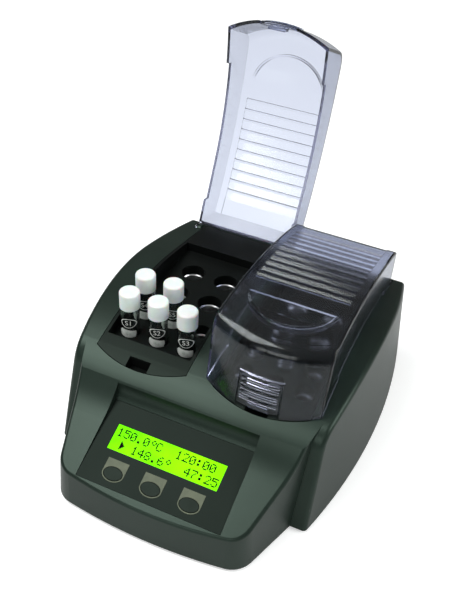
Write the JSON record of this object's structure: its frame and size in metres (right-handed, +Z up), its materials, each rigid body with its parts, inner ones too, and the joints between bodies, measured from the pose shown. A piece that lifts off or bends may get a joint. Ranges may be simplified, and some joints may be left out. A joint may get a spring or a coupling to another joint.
{
  "type": "chemical oxygen demand reactor",
  "caption": "Bench reactor that heats sample vials in two bored metal blocks, each under a clear hinged lid, with a display and keys on a sloping console.",
  "frame": {"origin": "on the bench plane, under the middle of the bounding box of the whole, at rest with the left lid open", "axes": "+Z up; -Y towards the front, where the console is; +X to the right seen from the front"},
  "size_m": [0.253, 0.3926, 0.2772],
  "materials": {
    "housing_plastic": "fine moulded grain",
    "cover_plastic": "satin",
    "clear_plastic": "polished, violet tint",
    "rubber": "matt",
    "steel": "satin",
    "block_metal": "machined",
    "panel_plastic": "matt",
    "display_window": "clear",
    "display_glass": "lit green",
    "tag_plastic": "matt",
    "key_plastic": "matt",
    "black_plastic": "satin",
    "board": "solder mask",
    "component": "moulded",
    "brass": "nickel plated",
    "insulation": "ceramic fibre",
    "heater": "heating mat",
    "lead": "sleeved",
    "glass": "clear",
    "cap_plastic": "white"
  },
  "bodies": {
    "housing": {"top_cover": "housing_plastic", "base_tray": "black_plastic", "feet": "rubber", "case_screws": "steel", "rear_plate": "steel", "rear_screws": "steel", "mains_inlet": "black_plastic", "inlet_pins": "brass", "switch_body": "black_plastic", "display_panel": "panel_plastic", "display_window": "display_window", "display_glass": "display_glass", "display_module": "component", "key_tags": "tag_plastic", "key_switches": "component", "display_board": "board", "board_posts": "housing_plastic", "control_board": "board", "board_legs": "black_plastic", "board_parts": "component", "display_ribbon": "lead", "mains_leads": "lead", "heater_leads": "lead", "block_cover_left": "cover_plastic", "block_left": "block_metal", "block_pillars_left": "steel", "heater_left": "heater", "insulation_left": "insulation", "sensor_left": "steel", "cutout_left": "steel", "hinge_pins_left": "steel", "block_cover_right": "cover_plastic", "block_right": "block_metal", "block_pillars_right": "steel", "heater_right": "heater", "insulation_right": "insulation", "sensor_right": "steel", "cutout_right": "steel", "hinge_pins_right": "steel"},
    "lid_left": {"lid_left": "clear_plastic"},
    "latch_left": {"latch_left": "clear_plastic"},
    "lid_right": {"lid_right": "clear_plastic"},
    "latch_right": {"latch_right": "clear_plastic"},
    "key_1": {"key_1": "key_plastic"},
    "key_2": {"key_2": "key_plastic"},
    "key_3": {"key_3": "key_plastic"},
    "switch_rocker": {"switch_rocker": "black_plastic"},
    "fuse_drawer": {"fuse_drawer": "black_plastic", "fuses": "glass"},
    "vial_1": {"vial_1": "glass", "vial_cap_1": "cap_plastic"},
    "vial_2": {"vial_2": "glass", "vial_cap_2": "cap_plastic"},
    "vial_3": {"vial_3": "glass", "vial_cap_3": "cap_plastic"},
    "vial_4": {"vial_4": "glass", "vial_cap_4": "cap_plastic"},
    "vial_5": {"vial_5": "glass", "vial_cap_5": "cap_plastic"}
  },
  "joints": [
    {"name": "lid_left_hinge", "type": "hinge", "parent": "housing", "child": "lid_left", "pos_m": [-0.051, 0.09125, 0.082], "axis": [-1, 0, 0], "range_deg": [-104, 0]},
    {"name": "lid_right_hinge", "type": "hinge", "parent": "housing", "child": "lid_right", "pos_m": [0.051, 0.09125, 0.082], "axis": [-1, 0, 0], "range_deg": [0, 104]},
    {"name": "latch_left_hinge", "type": "hinge", "parent": "lid_left", "child": "latch_left", "pos_m": [-0.051, 0.17134, 0.26475], "axis": [-1, 0, 0], "range_deg": [0, 2.5], "stiffness_Nm_per_rad": 0.6},
    {"name": "latch_right_hinge", "type": "hinge", "parent": "lid_right", "child": "latch_right", "pos_m": [0.051, -0.10545, 0.1155], "axis": [-1, 0, 0], "range_deg": [0, 2.5], "stiffness_Nm_per_rad": 0.6},
    {"name": "key_1_travel", "type": "slide", "parent": "housing", "child": "key_1", "axis": [0, 0.3866, -0.9223], "range_m": [0, 0.0008], "stiffness_N_per_m": 1000},
    {"name": "key_2_travel", "type": "slide", "parent": "housing", "child": "key_2", "axis": [0, 0.3866, -0.9223], "range_m": [0, 0.0008], "stiffness_N_per_m": 1000},
    {"name": "key_3_travel", "type": "slide", "parent": "housing", "child": "key_3", "axis": [0, 0.3866, -0.9223], "range_m": [0, 0.0008], "stiffness_N_per_m": 1000},
    {"name": "switch_rock", "type": "hinge", "parent": "housing", "child": "switch_rocker", "pos_m": [-0.02, 0.09775, 0.043], "axis": [1, 0, 0], "range_deg": [0, 14]},
    {"name": "fuse_drawer_slide", "type": "slide", "parent": "housing", "child": "fuse_drawer", "axis": [0, 1, 0], "range_m": [0, 0.012]},
    {"name": "vial_1_lift", "type": "slide", "parent": "housing", "child": "vial_1", "axis": [0, 0, 1], "range_m": [0, 0.085]},
    {"name": "vial_2_lift", "type": "slide", "parent": "housing", "child": "vial_2", "axis": [0, 0, 1], "range_m": [0, 0.085]},
    {"name": "vial_3_lift", "type": "slide", "parent": "housing", "child": "vial_3", "axis": [0, 0, 1], "range_m": [0, 0.085]},
    {"name": "vial_4_lift", "type": "slide", "parent": "housing", "child": "vial_4", "axis": [0, 0, 1], "range_m": [0, 0.085]},
    {"name": "vial_5_lift", "type": "slide", "parent": "housing", "child": "vial_5", "axis": [0, 0, 1], "range_m": [0, 0.085]}
  ]
}
